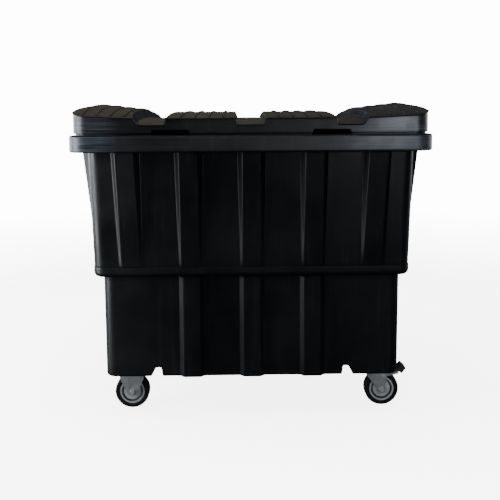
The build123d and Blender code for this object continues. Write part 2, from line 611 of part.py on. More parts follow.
def write_castor(corner, x, y):
    """All pieces of one castor.  The right-hand ones swivel, with the wheel trailing towards +X."""
    swivels = x > 0
    at_wheel = Pos(x + TRAIL, y, 0) if swivels else Pos(x, y, 0)
    for part, make in WHEEL_PARTS.items():
        write(f"{corner}_{part}", at_wheel * Pos(0, 0, WHEEL_RADIUS) * make())
    for part, make in (SWIVEL_PARTS if swivels else FIXED_PARTS).items():
        write(f"{corner}_{part}", at_wheel * make())


os.makedirs("parts", exist_ok=True)
write("bin_body", bin_body())
write("lid", lid())
for station, station_x in HINGE_STATIONS.items():
    write(f"lid_hinge_pin_{station}", hinge_pin(station_x))
write("lid_hinge_washers", hinge_washers())
write("lid_hinge_split_pins", split_pins())
write("castor_thread_inserts", thread_inserts())
write("castor_mounting_screws", mounting_screws())
write("castor_mounting_washers", mounting_washers())
for corner_name, (corner_x, corner_y) in CORNERS.items():
    write_castor(corner_name, corner_x, corner_y)
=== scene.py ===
"""Looks of the four-wheeled waste container: materials, fine detail, studio and camera, all
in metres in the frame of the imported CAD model."""

import json
import math

import bpy
from mathutils import Euler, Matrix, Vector


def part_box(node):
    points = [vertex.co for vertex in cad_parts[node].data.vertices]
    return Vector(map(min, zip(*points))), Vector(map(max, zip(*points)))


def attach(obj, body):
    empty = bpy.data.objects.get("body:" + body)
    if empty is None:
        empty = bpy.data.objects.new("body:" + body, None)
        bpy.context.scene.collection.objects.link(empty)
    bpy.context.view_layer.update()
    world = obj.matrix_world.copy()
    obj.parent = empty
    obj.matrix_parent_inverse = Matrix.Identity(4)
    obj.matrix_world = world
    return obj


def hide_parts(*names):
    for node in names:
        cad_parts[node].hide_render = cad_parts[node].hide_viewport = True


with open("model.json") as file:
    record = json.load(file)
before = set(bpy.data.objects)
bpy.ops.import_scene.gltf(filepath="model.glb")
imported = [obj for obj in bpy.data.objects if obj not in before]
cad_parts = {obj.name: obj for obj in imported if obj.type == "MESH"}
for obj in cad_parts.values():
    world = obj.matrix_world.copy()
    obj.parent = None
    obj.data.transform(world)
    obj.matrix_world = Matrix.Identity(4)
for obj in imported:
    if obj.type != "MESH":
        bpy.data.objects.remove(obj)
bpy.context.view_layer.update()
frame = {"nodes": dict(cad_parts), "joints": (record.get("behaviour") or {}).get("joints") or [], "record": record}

# ---- Sizes of the CAD model ----------------------------------------------------------------------
def measured(value):
    """A size of the CAD model without the rounding of its mesh."""
    return round(value, 4)


BODY_BOX, LID_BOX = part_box("bin_body"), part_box("lid")
RIM_HALF = (measured(BODY_BOX[1].x), 0.525)
RIM_RADIUS, RIM_EDGE = 0.080, 0.008
CENTRE_Y = measured(BODY_BOX[0].y + RIM_HALF[1])    # the shells are off centre by half of the hinges' reach
BOTTOM = measured(BODY_BOX[0].z)                    # underside of the body
LEDGE = 0.623                                       # underside of the ledge between lower and upper body
RIM_LOW, RIM_TOP = 1.145, measured(LID_BOX[0].z)    # underside and top of the body's rolled rim
LID_HALF = (measured(LID_BOX[1].x), measured(CENTRE_Y - LID_BOX[0].y))
WALL, LID_SKIN = 0.009, 0.007

JOINTS = {joint["name"]: joint["pos_m"] for joint in frame["joints"]}
HINGE = (measured(JOINTS["lid_hinge"][1] - CENTRE_Y), JOINTS["lid_hinge"][2])   # y from the middle, and z
HINGE_X = (-0.560, 0.0, 0.560)
BODY_KNUCKLES, LID_KNUCKLE = (0.037, 0.072), 0.035      # their ends along X from each hinge's middle
BODY_ROOT, LID_ROOT, ROOT_DEPTH = (1.167, 1.207), (1.224, 1.247), 0.004     # heights of their roots; how deep
# The places of the swivels and of the fixed wheels; x and y are those of the castors.
CASTORS = [place for name, place in JOINTS.items() if name.endswith(("castor_swivel", "left_wheel_spin"))]


# ---- Node graph helper ---------------------------------------------------------------------------
class Graph:
    """Builds one material's nodes; every value that varies over the surface is a socket."""

    def __init__(self, name):
        self.mat = bpy.data.materials.new(name)
        self.mat.use_nodes = True
        self.nodes = self.mat.node_tree.nodes
        self.links = self.mat.node_tree.links
        self.shader = self.nodes["Principled BSDF"]
        self.place = self.nodes.new("ShaderNodeTexCoord").outputs["Object"]

    def set(self, socket, value):
        """Gives an input a socket to follow or a plain number."""
        if isinstance(value, bpy.types.NodeSocket):
            self.links.new(value, socket)
        else:
            socket.default_value = value

    def shader_input(self, name, value):
        self.set(self.shader.inputs[name], value)

    def stretch(self, scale, turn=(0, 0, 0)):
        """Object coordinates, turned and then scaled per axis."""
        node = self.nodes.new("ShaderNodeMapping")
        self.links.new(self.place, node.inputs["Vector"])
        node.inputs["Scale"].default_value = scale
        node.inputs["Rotation"].default_value = turn
        return node.outputs["Vector"]

    def noise(self, scale, detail=3.0, rough=0.5, vector=None, distortion=0.0):
        node = self.nodes.new("ShaderNodeTexNoise")
        self.links.new(vector or self.place, node.inputs["Vector"])
        node.inputs["Scale"].default_value = scale
        node.inputs["Detail"].default_value = detail
        node.inputs["Roughness"].default_value = rough
        node.inputs["Distortion"].default_value = distortion
        return node.outputs["Fac"]

    def ramp(self, value, *stops):
        """Maps a value through (position, grey or colour) stops."""
        node = self.nodes.new("ShaderNodeValToRGB")
        ramp = node.color_ramp
        while len(ramp.elements) < len(stops):
            ramp.elements.new(0.5)
        for element, (position, colour) in zip(ramp.elements, stops):
            element.position = position
            element.color = (*colour, 1) if isinstance(colour, tuple) else (colour, colour, colour, 1)
        self.links.new(value, node.inputs["Fac"])
        return node.outputs["Color"]

    def between(self, value, low, high, to_low=0.0, to_high=1.0):
        """Linear map with clamping."""
        node = self.nodes.new("ShaderNodeMapRange")
        for socket, number in zip(node.inputs[:5], (value, low, high, to_low, to_high)):
            self.set(socket, number)
        return node.outputs["Result"]

    def math(self, kind, a, b=0.0):
        node = self.nodes.new("ShaderNodeMath")
        node.operation = kind
        self.set(node.inputs[0], a)
        self.set(node.inputs[1], b)
        return node.outputs["Value"]

    def mix(self, factor, a, b):
        """Mixes two colours."""
        node = self.nodes.new("ShaderNodeMix")
        node.data_type = "RGBA"
        self.set(node.inputs[0], factor)
        for socket, value in ((node.inputs[6], a), (node.inputs[7], b)):
            self.set(socket, (*value, 1) if isinstance(value, tuple) else value)
        return node.outputs[2]

    def along(self, axis):
        """Distance from the origin along one axis, at rest."""
        node = self.nodes.new("ShaderNodeSeparateXYZ")
        self.links.new(self.place, node.inputs["Vector"])
        return node.outputs[axis]

    def upward(self):
        """1 on faces that look up, 0 on walls, -1 on faces that look down."""
        node = self.nodes.new("ShaderNodeTexCoord")
        split = self.nodes.new("ShaderNodeSeparateXYZ")
        self.links.new(node.outputs["Normal"], split.inputs["Vector"])
        return split.outputs["Z"]

    def radius(self):
        """0 at the middle of the part's outline seen from the front, 1 at its edge."""
        node = self.nodes.new("ShaderNodeTexCoord")
        centred = self.nodes.new("ShaderNodeVectorMath")
        centred.operation = "MULTIPLY_ADD"
        self.links.new(node.outputs["Generated"], centred.inputs[0])
        centred.inputs[1].default_value = (2, 0, 2)
        centred.inputs[2].default_value = (-1, 0, -1)
        size = self.nodes.new("ShaderNodeVectorMath")
        size.operation = "LENGTH"
        self.links.new(centred.outputs[0], size.inputs[0])
        return size.outputs["Value"]

    def bump(self, *layers):
        """Chains (height, strength, distance in metres) layers into the shader's normal."""
        normal = None
        for height, strength, distance in layers:
            node = self.nodes.new("ShaderNodeBump")
            node.inputs["Strength"].default_value = strength
            node.inputs["Distance"].default_value = distance
            self.links.new(height, node.inputs["Height"])
            if normal:
                self.links.new(normal, node.inputs["Normal"])
            normal = node.outputs["Normal"]
        self.links.new(normal, self.shader.inputs["Normal"])


# ---- Materials -----------------------------------------------------------------------------------
BLACKS = ((0.32, (0.0020, 0.0022, 0.0027)), (0.55, (0.0031, 0.0034, 0.0040)),
          (0.75, (0.0054, 0.0056, 0.0060)))
# The scuff colour is a light rubbing colour that also stands in for a painted sheen on the rim and the lid's
# skirt.
DRIP, SCUFF_AND_SHEEN, SCRATCH = (0.018, 0.018, 0.018), (0.092, 0.106, 0.138), (0.050, 0.052, 0.056)
DUST, DUST_SPECK = (0.0245, 0.0218, 0.0158), (0.040, 0.036, 0.028)
# The grime colour is painted shade for the wheel rim's deep groove.
DULL_ZINC, RUST, GROOVE_SHADE = (0.36, 0.355, 0.34), (0.16, 0.075, 0.035), (0.010, 0.010, 0.010)


def rubbed_and_sheen_walls(g, band):
    """Where hands and other bins rub, and where a sheen is painted: the upright faces of rim and lid, most of all
    near both ends.
    """
    ends = g.ramp(g.along("X"), (0.30, 0.05), (0.56, 1.0))
    ends = g.math("MAXIMUM", ends, g.between(g.along("X"), -0.71, -0.52, 1.5, 0.0))
    walls = g.between(g.math("ABSOLUTE", g.upward()), 0.35, 0.80, 1.0, 0.0)
    return g.math("MULTIPLY", g.math("MULTIPLY", band, walls), ends)


def scuffs_and_sheen(g, handled_and_sheen):
    """Level rubbing marks in patches over the rubbed walls, lightened so far that they also paint a sheen there.
    """
    scuff_and_sheen_streaks = g.ramp(g.noise(1, 6, 0.70, g.stretch((2.3, 2.3, 150))), (0.42, 0.0), (0.66, 1.0))
    patches = g.ramp(g.noise(3.2, 3, 0.6), (0.34, 0.25), (0.60, 1.0))
    return g.math("MULTIPLY", g.math("MULTIPLY", scuff_and_sheen_streaks, patches), handled_and_sheen)


def moulded_plastic(name, dusty, shine):
    """Near-black rotationally moulded polyethylene with streaks, dust, and scuffs that also paint a sheen near
    both ends.

    dusty is the share of dust on level tops, thinned towards the right so that the right half looks shaded,
    and shine the sheen of rim and lid away from both ends.
    """
    g = Graph(name)
    base = g.ramp(g.noise(2.6, 5, 0.6, distortion=0.6), *BLACKS)
    drips = g.ramp(g.noise(1, 4, 0.62, g.stretch((34, 34, 1.6))), (0.56, 0.0), (0.72, 1.0))
    base = g.mix(g.math("MULTIPLY", drips, 0.30), base, DRIP)
    band = g.between(g.along("Z"), RIM_LOW - 0.001, RIM_LOW + 0.004)
    handled_and_sheen = rubbed_and_sheen_walls(g, band)
    rubbed_and_sheen = scuffs_and_sheen(g, handled_and_sheen)
    # Scuffs paint a light sheen on the rim and skirt near both ends, on top of real rubbing marks.
    base = g.mix(g.math("MULTIPLY", rubbed_and_sheen, 0.80), base, SCUFF_AND_SHEEN)
    leaning = g.stretch((150, 150, 2.2), (0.3, 0.25, 0.4))
    scratch = g.ramp(g.noise(1, 3, 0.5, leaning), (0.69, 0.0), (0.73, 1.0))
    base = g.mix(g.math("MULTIPLY", scratch, 0.20), base, SCRATCH)
    specks = g.ramp(g.noise(310, 2, 0.5), (0.66, 0.0), (0.74, 1.0))
    top = g.ramp(g.upward(), (0.62, 0.0), (0.93, 1.0))
    grime = g.ramp(g.noise(7.5, 6, 0.66, distortion=0.8), (0.34, 0.45), (0.66, 1.0))
    # Dust thins towards the right, so the top's right half is darker: painted shade.
    dust_and_right_shade = g.between(g.along("X"), -0.1, 0.5, dusty, 0.30 * dusty)
    film = g.math("MULTIPLY", g.math("MULTIPLY", top, grime), dust_and_right_shade)
    base = g.mix(film, base, DUST)
    base = g.mix(g.math("MULTIPLY", specks, g.math("MULTIPLY", film, 0.5)), base, DUST_SPECK)
    g.shader_input("Base Color", base)
    rough = g.between(g.noise(5.2, 5, 0.6), 0.3, 0.7, 0.32, 0.50)
    rough = g.math("ADD", rough, g.math("MULTIPLY", film, 0.30))
    rough = g.math("ADD", rough, g.math("MULTIPLY", rubbed_and_sheen, 0.10))
    g.shader_input("Roughness", rough)
    low_sheen = g.between(g.along("X"), -0.52, -0.22, 0.34, 0.13)
    sheen = g.mix(band, low_sheen, g.between(handled_and_sheen, 0.0, 1.0, shine, 0.46))
    slope = g.ramp(g.upward(), (0.25, 0.0), (0.70, 1.0))
    dull = g.between(g.math("MULTIPLY", slope, grime), 0.0, 0.42, 1.0, 0.03)
    g.shader_input("Specular IOR Level", g.math("MULTIPLY", sheen, dull))
    waves, dimples, pores = g.noise(2.2, 2, 0.4), g.noise(46, 3, 0.5), g.noise(620, 2, 0.5)
    g.bump((waves, 0.35, 0.012), (dimples, 0.16, 0.0012), (pores, 0.22, 0.00025), (scratch, 0.25, 0.0003))
    return g.mat


def zinc(name, grain, tone, worn, groove=None):
    """Zinc-plated steel: cloudy spangle, drawing lines, dull film and specks of rust.

    grain stretches the drawing lines, worn is the share of film and rust, and groove is a ring darkened as
    painted shade, from its inner to its outer edge as shares of the part's radius.
    """
    g = Graph(name)
    shade = tuple(0.72 * c for c in tone)
    spangle = g.ramp(g.noise(38, 5, 0.6, distortion=0.5), (0.32, shade), (0.68, tone))
    film = g.ramp(g.noise(14, 5, 0.62), (0.46, 0.0), (0.66, 1.0))
    base = g.mix(g.math("MULTIPLY", film, 0.45 * worn), spangle, DULL_ZINC)
    rust = g.ramp(g.noise(120, 5, 0.66), (0.665, 0.0), (0.72, 1.0))
    base = g.mix(g.math("MULTIPLY", rust, 0.75 * worn), base, RUST)
    metal = g.between(rust, 0.0, 1.0, 0.78, 0.30)
    if groove:
        low, high = groove
        # Painted shade: the wheel rim's deep groove is darkened and made less metallic.
        groove_shade = g.ramp(g.radius(), (low - 0.02, 0.0), (low, 1.0), (high, 1.0), (high + 0.02, 0.0))
        base = g.mix(g.math("MULTIPLY", groove_shade, 0.94), base, GROOVE_SHADE)
        metal = g.math("MULTIPLY", metal, g.between(groove_shade, 0.0, 1.0, 1.0, 0.1))
    g.shader_input("Base Color", base)
    g.shader_input("Metallic", metal)
    lines = g.noise(1, 3, 0.6, g.stretch(grain))
    rough = g.math("ADD", g.between(lines, 0.3, 0.7, 0.30, 0.42), g.math("MULTIPLY", film, 0.12))
    g.shader_input("Roughness", rough)
    g.bump((g.noise(60, 3, 0.5), 0.12, 0.0006), (lines, 0.10, 0.00012), (rust, 0.3, 0.0002))
    return g.mat


def rubber(name):
    """Solid black rubber, dusty on the tread and in the pores."""
    g = Graph(name)
    base = g.ramp(g.noise(24, 5, 0.6), (0.34, (0.0035, 0.0035, 0.0036)), (0.70, (0.0075, 0.0074, 0.0072)))
    dust = g.ramp(g.noise(62, 5, 0.65), (0.52, 0.0), (0.70, 1.0))
    base = g.mix(g.math("MULTIPLY", dust, 0.30), base, (0.026, 0.024, 0.021))
    g.shader_input("Base Color", base)
    g.shader_input("Roughness", g.between(g.noise(30, 4, 0.6), 0.3, 0.7, 0.55, 0.74))
    g.shader_input("Specular IOR Level", 0.16)
    g.bump((g.noise(90, 3, 0.5), 0.15, 0.0006), (g.noise(900, 2, 0.5), 0.25, 0.0002))
    return g.mat


def plain_plastic(name, dark, light, low_rough, high_rough):
    """Small moulded parts with a fine grain and handling marks."""
    g = Graph(name)
    base = g.ramp(g.noise(45, 4, 0.6), (0.35, dark), (0.68, light))
    marks = g.ramp(g.noise(1, 4, 0.6, g.stretch((240, 40, 240), (0.2, 0.4, 0.1))), (0.60, 0.0), (0.70, 1.0))
    base = g.mix(g.math("MULTIPLY", marks, 0.35), base, tuple(min(1.0, 2.2 * c + 0.02) for c in light))
    g.shader_input("Base Color", base)
    g.shader_input("Roughness", g.between(g.noise(55, 3, 0.5), 0.3, 0.7, low_rough, high_rough))
    g.bump((g.noise(480, 2, 0.5), 0.3, 0.0002), (marks, 0.2, 0.0001))
    return g.mat


MATERIALS = {
    "body_plastic": moulded_plastic("body_plastic", 0.30, 0.34),
    "lid_plastic": moulded_plastic("lid_plastic", 0.80, 0.22),
    "tyre_rubber": rubber("tyre_rubber"),
    # The rim's groove, between 0.77 and 0.86 of its radius, is painted dark as shade.
    "rim_steel": zinc("rim_steel", (60, 200, 60), (0.86, 0.87, 0.90), 0.35, (0.77, 0.86)),
    "zinc_steel": zinc("zinc_steel", (220, 60, 30), (0.52, 0.535, 0.54), 0.5),
    "hinge_steel": zinc("hinge_steel", (20, 260, 260), (0.48, 0.49, 0.495), 0.7),
    "fastener_steel": zinc("fastener_steel", (160, 160, 160), (0.78, 0.78, 0.77), 0.4),
    "hard_steel": zinc("hard_steel", (90, 90, 90), (0.62, 0.62, 0.63), 0.1),
    "bush_plastic": plain_plastic("bush_plastic", (0.50, 0.49, 0.45), (0.62, 0.61, 0.56), 0.35, 0.5),
    "pad_plastic": plain_plastic("pad_plastic", (0.008, 0.008, 0.009), (0.016, 0.016, 0.017), 0.38, 0.55),
}
for part in frame["record"]["subparts"]:
    obj = frame["nodes"][part["node"]]
    obj.data.materials.clear()
    obj.data.materials.append(MATERIALS[part["material_slot"]])


# ---- Ring meshes ---------------------------------------------------------------------------------
class Shell:
    """A closed skin made of two capped grids joined by rings, all with the same loop of points."""

    def __init__(self, name):
        self.name, self.verts, self.faces = name, [], []

    def ring(self, points):
        start = len(self.verts)
        self.verts += points
        return range(start, start + len(points))

    def join(self, lower, upper):
        count = len(lower)
        for i in range(count):
            j = (i + 1) % count
            self.faces.append((lower[i], lower[j], upper[j], upper[i]))

    def cap(self, loop, columns, rows, inner_point, flip):
        """Fills a loop with a grid of columns x rows; inner_point gives the points inside."""
        index = {}
        order = boundary(columns, rows)
        for place, key in enumerate(order):
            index[key] = loop[place]
        for i in range(1, columns - 1):
            for j in range(1, rows - 1):
                index[i, j] = len(self.verts)
                self.verts.append(inner_point(i, j))
        for i in range(columns - 1):
            for j in range(rows - 1):
                quad = (index[i, j], index[i + 1, j], index[i + 1, j + 1], index[i, j + 1])
                self.faces.append(quad[::-1] if flip else quad)

    def build(self, smooth_angle=50):
        mesh = bpy.data.meshes.new(self.name)
        mesh.from_pydata(self.verts, [], self.faces)
        mesh.validate()
        return finish_mesh(self.name, mesh, smooth_angle)


def finish_mesh(name, mesh, smooth_angle):
    """Turns a mesh into an object shaded smooth, with flat faces kept flat by weighted normals."""
    mesh.shade_smooth()
    mesh.set_sharp_from_angle(angle=math.radians(smooth_angle))
    obj = bpy.data.objects.new(name, mesh)
    bpy.context.scene.collection.objects.link(obj)
    weighted = obj.modifiers.new("weighted", "WEIGHTED_NORMAL")
    weighted.keep_sharp = True
    return obj


def boundary(columns, rows):
    """Grid places round the edge: along the front, up the right, back along the rear, down the left."""
    keys = [(i, 0) for i in range(columns)]
    keys += [(columns - 1, j) for j in range(1, rows - 1)]
    keys += [(i, rows - 1) for i in range(columns - 1, -1, -1)]
    keys += [(0, j) for j in range(rows - 2, 0, -1)]
    return keys


def arc_steps(count):
    return [math.pi / 2 * k / count for k in range(count + 1)]


# ---- Bin body ------------------------------------------------------------------------------------
UPPER_LOW, UPPER_TOP = (0.657, 0.442), (0.673, 0.458)   # half sizes of the upper body at its foot and its top
LOWER_LOW, LOWER_TOP = (0.622, 0.407), (0.625, 0.410)   # and of the lower body
BAND = (0.661, 0.446)                                   # and of the band round the ledge
UPPER_RISE, LOWER_RISE = 0.524, 0.465                   # heights over which the walls widen
UPPER_RADIUS, LOWER_RADIUS, BAND_RADIUS = 0.050, 0.045, 0.054
BOTTOM_EDGE, LEDGE_EDGE, BAND_EDGE, BAND_TOP = 0.010, 0.020, 0.0035, 0.667
HOLLOW_EDGE, FLOOR_EDGE = 0.003, 0.010                  # roundings inside the rim and round the bin's floor
RIB_SIDES = {"front": ((-0.514, -0.257, 0.0, 0.257, 0.514), (-0.499, -0.253, 0.0, 0.253, 0.499), (1, 2, 3)),
             "side": ((-0.270, 0.0, 0.270), (-0.270, 0.0, 0.270), (1,))}
RIB_Z, RIB_START = (0.649, RIM_LOW), 0.664      # ends of the upper ribs' slope, and where they stand out
LOWER_RIBS, UNDER_RIBS, OVER_RIBS = 0.3, 0.65, 1.2      # heights that stand for the ribs of other stretches
NOTCH = ((0.3765, 0.0), (0.3796, 0.025), (0.3812, 0.12), (0.3852, 0.868), (0.3870, 0.963), (0.3911, 1.0),
         (0.4044, 1.0), (0.4070, 0.974), (0.4097, 0.916), (0.4262, 0.09), (0.4284, 0.02), (0.4320, 0.0))
NOTCH_IN = tuple((x - WALL if x < 0.4 else x + WALL, height) for x, height in NOTCH)
NOTCH_HEIGHT, NOTCH_REACH = 0.038, 0.10                 # the rings are level again this far over the bottom
CORNER_STEPS = 8


def rib_profile(foot, face, depth, radius=0.006, steps=3):
    """Offsets across one rib and how far each stands proud, with a fillet at the foot and at the face."""
    angle = math.atan2(max(depth, 1e-5), foot - face)
    reach = radius * math.tan(angle / 2)
    half = []
    for k in range(steps + 1):          # concave foot
        a = angle * k / steps
        half.append((-foot - reach + radius * math.sin(a), radius * (1 - math.cos(a))))
    for k in range(steps + 1):          # convex face edge
        a = angle * (1 - k / steps)
        half.append((-face + reach - radius * math.sin(a), depth - radius * (1 - math.cos(a))))
    return half + [(0.0, depth)] + [(-u, d) for u, d in reversed(half)]


def wall_places(side, z, inset):
    """Positions along a wall between its corners and how far each stands proud, at height z."""
    tops, lows, low_ribs = RIB_SIDES[side]
    t = min(1.0, max(0.0, (z - RIB_Z[0]) / (RIB_Z[1] - RIB_Z[0])))
    upper = z > 0.640
    ribs = []
    for index, (top, low) in enumerate(zip(tops, lows)):
        middle = low + (top - low) * t
        if upper:
            foot, face = 0.048 + 0.009 * t, 0.038
            depth = (0.002 + 0.043 * t) if z <= RIB_Z[1] + 0.0001 else 0.0
            if z < RIB_START:
                depth = 0.0
        else:
            foot, face = 0.052, 0.035
            depth = 0.018 if index in low_ribs else 0.0
        profile = rib_profile(foot - inset, face - inset, depth)
        ribs.append([(middle + u, d) for u, d in profile])
    return ribs


def side_list(side, z, inset, straight):
    """All places along a wall from -straight to +straight."""
    ribs = wall_places(side, z, inset)
    notches = NOTCH_IN if inset else NOTCH
    places = [(-straight, 0.0)]
    previous = -straight
    for rib in ribs:
        start = rib[0][0]
        gap = []
        if side == "front" and rib is ribs[1]:
            gap = [-x for x, _ in reversed(notches)]
        elif side == "front" and rib is ribs[-1]:
            gap = [x for x, _ in notches]
        else:
            gap = [previous + (start - previous) * k / 3 for k in (1, 2)]
        if gap and side == "front" and rib in (ribs[1], ribs[-1]):
            gap = [(previous + gap[0]) / 2, *gap, (gap[-1] + start) / 2]
        places += [(x, 0.0) for x in gap] + rib
        previous = rib[-1][0]
    places += [(previous + (straight - previous) * k / 3, 0.0) for k in (1, 2)] + [(straight, 0.0)]
    return places


def notch_lift(x, inset):
    notches = NOTCH_IN if inset else NOTCH
    x = abs(x)
    for (a, low), (b, high) in zip(notches, notches[1:]):
        if a <= x <= b:
            return NOTCH_HEIGHT * (low + (high - low) * (x - a) / (b - a))
    return 0.0


def body_ring(half_x, half_y, radius, z, inset, shape_z):
    """One loop round the body at height z, with ribs shaped as at shape_z."""
    base_z = BOTTOM + inset
    front = side_list("front", shape_z, inset, half_x - radius)
    side = side_list("side", shape_z, inset, half_y - radius)
    arc = arc_steps(CORNER_STEPS)[1:]
    corner = [(half_x - radius + radius * math.sin(a), half_y - radius + radius * math.cos(a)) for a in arc]
    columns = [(-x, y) for x, y in reversed(corner)]
    columns += [(x, half_y + d) for x, d in front]
    columns += corner
    rows = [(y, half_x + d) for y, d in side]
    points = []

    def height(x):
        lift = notch_lift(x, inset)
        top = base_z + NOTCH_REACH
        if z >= top or not lift:
            return z
        return base_z + lift + (z - base_z) * (top - base_z - lift) / (top - base_z)

    for x, y in columns:
        points.append((x, CENTRE_Y - y, height(x)))
    for y, x in rows[1:-1]:
        points.append((x, CENTRE_Y + y, z))
    for x, y in reversed(columns):
        points.append((x, CENTRE_Y + y, height(x)))
    for y, x in reversed(rows[1:-1]):
        points.append((-x, CENTRE_Y + y, z))
    return points, len(columns), len(rows)


def lerp(a, b, t):
    return tuple(p + (q - p) * t for p, q in zip(a, b))


def rounding_out(half, radius, low_z, size, steps):
    """Rings that widen to a wall through a quarter circle under it."""
    for a in arc_steps(steps):
        cut = size * (1 - math.sin(a))
        yield half[0] - cut, half[1] - cut, radius - cut, low_z + size * (1 - math.cos(a))


def rounding_in(half, radius, top_z, size, steps):
    """Rings that narrow from a wall through a quarter circle over it."""
    for a in arc_steps(steps):
        cut = size * (1 - math.cos(a))
        yield half[0] - cut, half[1] - cut, radius - cut, top_z - size + size * math.sin(a)


def outer_stations():
    """(half x, half y, corner radius, z, inset, z of the rib shape) up the outside to the rim's top."""
    foot = rounding_out(LOWER_LOW, LOWER_RADIUS, BOTTOM, BOTTOM_EDGE, 4)
    stations = [(*ring, 0, LOWER_RIBS) for ring in foot]
    for z in (0.226, 0.262, 0.300, 0.380, 0.460, 0.540, 0.600, 0.617):
        half = lerp(LOWER_LOW, LOWER_TOP, (z - BOTTOM) / LOWER_RISE)
        stations.append((*half, LOWER_RADIUS, z, 0, LOWER_RIBS))
    for z, grow in ((0.6215, 0.0012), (LEDGE, 0.0050)):
        stations.append((LOWER_TOP[0] + grow, LOWER_TOP[1] + grow, LOWER_RADIUS + grow, z, 0, LOWER_RIBS))
    stations += [(*ring, 0, UNDER_RIBS) for ring in rounding_out(BAND, BAND_RADIUS, LEDGE, LEDGE_EDGE, 6)]
    stations += [(*ring, 0, UNDER_RIBS) for ring in rounding_in(BAND, BAND_RADIUS, BAND_TOP, BAND_EDGE, 3)]
    for z in (0.6680, 0.6800, 0.72, 0.77, 0.82, 0.87, 0.92, 0.97, 1.02, 1.07, 1.11, 1.136, 1.1435):
        half = lerp(UPPER_LOW, UPPER_TOP, (z - LEDGE) / UPPER_RISE)
        stations.append((*half, UPPER_RADIUS, z, 0, z))
    stations.append((UPPER_TOP[0] + 0.0015, UPPER_TOP[1] + 0.0015, 0.0515, RIM_LOW, 0, RIM_LOW))
    stations += [(*ring, 0, OVER_RIBS) for ring in rounding_out(RIM_HALF, RIM_RADIUS, RIM_LOW, RIM_EDGE, 4)]
    stations += [(*RIM_HALF, RIM_RADIUS, z, 0, OVER_RIBS) for z in (1.162, 1.179, 1.196)]
    stations += [(*ring, 0, OVER_RIBS) for ring in rounding_in(RIM_HALF, RIM_RADIUS, RIM_TOP, RIM_EDGE, 4)]
    return stations


def rim_hollow():
    """The rim's inner edge and the hollow channel under it."""
    mouth = (UPPER_TOP[0] - WALL, UPPER_TOP[1] - WALL, UPPER_RADIUS - WALL)
    rolled = (RIM_HALF[0] - WALL, RIM_HALF[1] - WALL, RIM_RADIUS - WALL)
    ceiling, sill = RIM_TOP - WALL, RIM_LOW + WALL
    rings = []
    for a in arc_steps(3):
        rings.append((mouth, HOLLOW_EDGE * (1 - math.sin(a)), RIM_TOP - HOLLOW_EDGE * (1 - math.cos(a))))
    rings += [(mouth, 0.0, ceiling + 0.0015), (mouth, 0.002, ceiling)]
    rings += [(rolled, -HOLLOW_EDGE, ceiling), (rolled, 0.0, ceiling - HOLLOW_EDGE)]
    rings += [(rolled, 0.0, sill + HOLLOW_EDGE), (rolled, -HOLLOW_EDGE, sill)]
    return [(*(size + grow for size in sizes), z, WALL, OVER_RIBS) for sizes, grow, z in rings]


def inner_stations():
    """The rings down the inside, from under the rim to the floor."""
    top_in = (UPPER_TOP[0] - WALL, UPPER_TOP[1] - WALL)
    low_in = (UPPER_LOW[0] - WALL, UPPER_LOW[1] - WALL)
    inner_radius = UPPER_RADIUS - WALL
    stations = [(top_in[0] + 0.002, top_in[1] + 0.002, inner_radius + 0.002, RIM_LOW + WALL, WALL, RIM_LOW),
                (*top_in, inner_radius, 1.150, WALL, RIM_LOW)]
    for z in (1.11, 1.02, 0.92, 0.82, 0.72, 0.670):
        half = lerp(low_in, top_in, (z - LEDGE - WALL) / (UPPER_RISE - WALL))
        stations.append((*half, inner_radius, z, WALL, z))
    stations += [(*low_in, inner_radius, z, WALL, UNDER_RIBS) for z in (0.650, 0.640)]
    step = [size - 0.008 for size in (*low_in, inner_radius)]
    stations.append((*step, LEDGE + WALL, WALL, UNDER_RIBS))
    top_in = (LOWER_TOP[0] - WALL, LOWER_TOP[1] - WALL)
    low_in = (LOWER_LOW[0] - WALL, LOWER_LOW[1] - WALL)
    inner_radius = LOWER_RADIUS - WALL
    stations += [(top_in[0] + 0.003, top_in[1] + 0.003, 0.038, LEDGE + WALL, WALL, LOWER_RIBS),
                 (*top_in, inner_radius, 0.628, WALL, LOWER_RIBS)]
    for z in (0.54, 0.42, 0.31, 0.26, 0.212):
        stations.append((*lerp(low_in, top_in, (z - BOTTOM) / LOWER_RISE), inner_radius, z, WALL, LOWER_RIBS))
    floor_z = BOTTOM + WALL
    for a in arc_steps(3)[1:]:
        cut = FLOOR_EDGE * (1 - math.cos(a))
        z = floor_z + FLOOR_EDGE * (1 - math.sin(a))
        stations.append((low_in[0] - cut, low_in[1] - cut, inner_radius - cut, z, WALL, LOWER_RIBS))
    return stations


BOSS_HALF, BOSS_CORNER = (0.072, 0.064), 0.012
BOSS_RINGS = ((0.0, 0.1965), (0.0, 0.209), (0.0015, 0.2125), (0.005, 0.214))    # how far drawn in, and z


def add_boss(shell, x, y):
    """The floor's thickening over one castor, seen from inside."""
    loops = []
    for cut, z in BOSS_RINGS:
        points = []
        for quarter, (side_x, side_y) in enumerate(((1, 1), (-1, 1), (-1, -1), (1, -1))):
            middle_x = x + side_x * (BOSS_HALF[0] - BOSS_CORNER)
            middle_y = y + side_y * (BOSS_HALF[1] - BOSS_CORNER)
            for k in range(5):
                a = math.pi / 2 * (quarter + k / 4)
                radius = BOSS_CORNER - cut
                points.append((middle_x + radius * math.cos(a), middle_y + radius * math.sin(a), z))
        loops.append(shell.ring(points))
    for low, high in zip(loops, loops[1:]):
        shell.join(low, high)
    shell.faces.append(tuple(loops[-1]))
    shell.faces.append(tuple(reversed(loops[0])))


